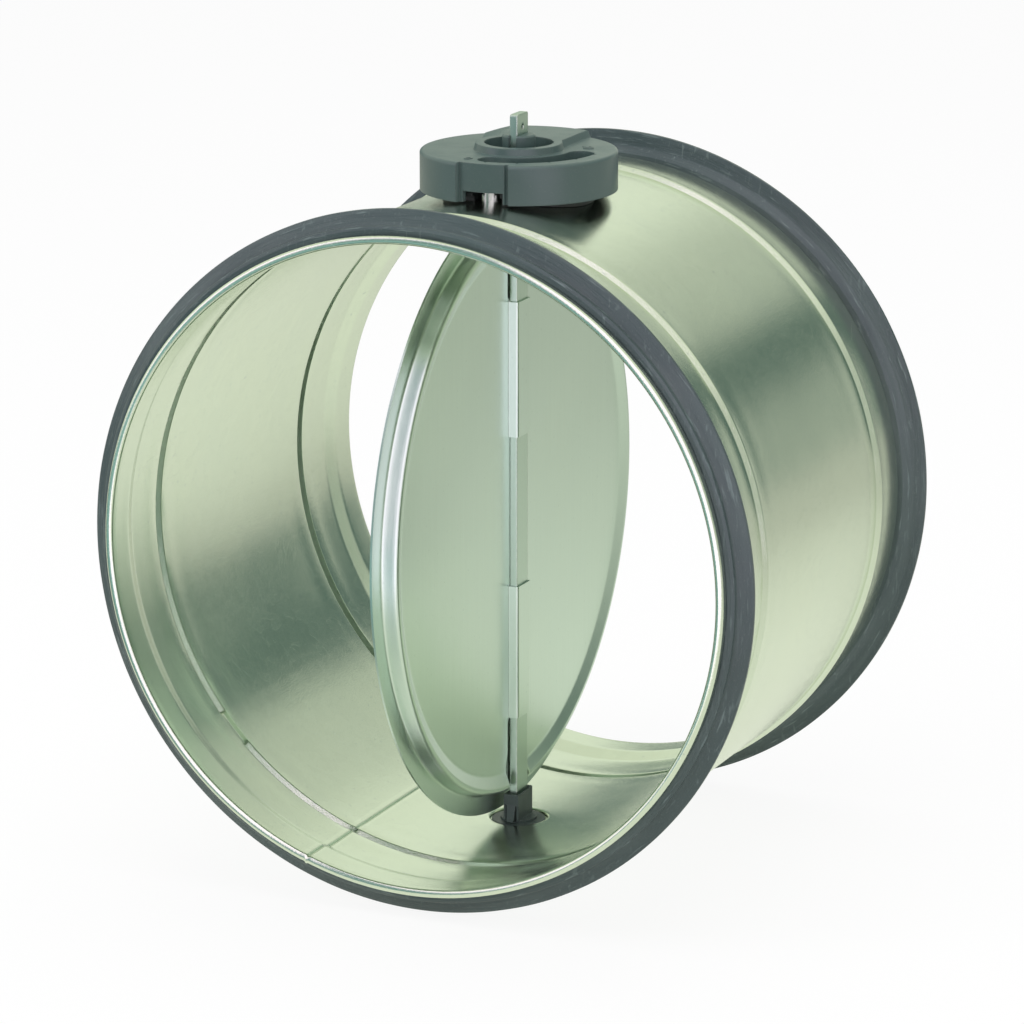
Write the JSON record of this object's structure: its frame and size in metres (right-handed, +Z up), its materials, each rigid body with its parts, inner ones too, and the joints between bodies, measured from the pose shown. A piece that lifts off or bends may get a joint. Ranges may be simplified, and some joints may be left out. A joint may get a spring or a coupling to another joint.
{
  "type": "volume control damper",
  "caption": "Round duct damper: a hemmed sheet casing with lipped gaskets and a pressed disc blade that a locking knob turns on a flat bar shaft.",
  "frame": {"origin": "centre of the front gasket's sealing crest, on the duct axis", "axes": "+Z up along the blade's shaft to the knob, +Y along the duct from the front spigot to the rear spigot, +X across the duct to the right of somebody who looks in at the front spigot"},
  "size_m": [0.2658, 0.2392, 0.2864],
  "materials": {
    "galvanised_sheet": "hot dip galvanised, spangled, semi-bright",
    "zinc_steel": "zinc plated",
    "spring_steel": "plain spring steel",
    "gasket_rubber": "slate grey extruded rubber, satin",
    "seal_rubber": "black, satin",
    "bearing_plastic": "moulded, satin",
    "knob_plastic": "moulded, fine texture",
    "base_plastic": "moulded, fine texture"
  },
  "bodies": {
    "casing_assembly": {"casing": "galvanised_sheet", "front_gasket": "gasket_rubber", "rear_gasket": "gasket_rubber", "upper_bearing": "bearing_plastic", "lower_bearing": "bearing_plastic", "upper_retainer": "spring_steel", "lower_retainer": "spring_steel", "knob_base": "base_plastic", "base_rivets": "zinc_steel", "threaded_sleeve": "zinc_steel"},
    "blade_assembly": {"blade": "galvanised_sheet", "shaft": "zinc_steel", "upper_bar_holder": "bearing_plastic", "lower_bar_holder": "bearing_plastic", "upper_o_ring": "seal_rubber", "lower_o_ring": "seal_rubber", "knob": "knob_plastic"},
    "screw_assembly": {"locking_screw": "zinc_steel", "lock_washer": "zinc_steel", "lock_spring_washer": "spring_steel"}
  },
  "joints": [
    {"name": "blade_turn", "type": "hinge", "parent": "casing_assembly", "child": "blade_assembly", "pos_m": [0, 0.0925, 0], "axis": [0, 0, 1], "range_deg": [-90, 0]},
    {"name": "lock_screw_turn", "type": "hinge", "parent": "casing_assembly", "child": "screw_assembly", "pos_m": [0, 0.06725, 0.128], "axis": [0, 0, 1], "range_deg": [0, 360]}
  ]
}
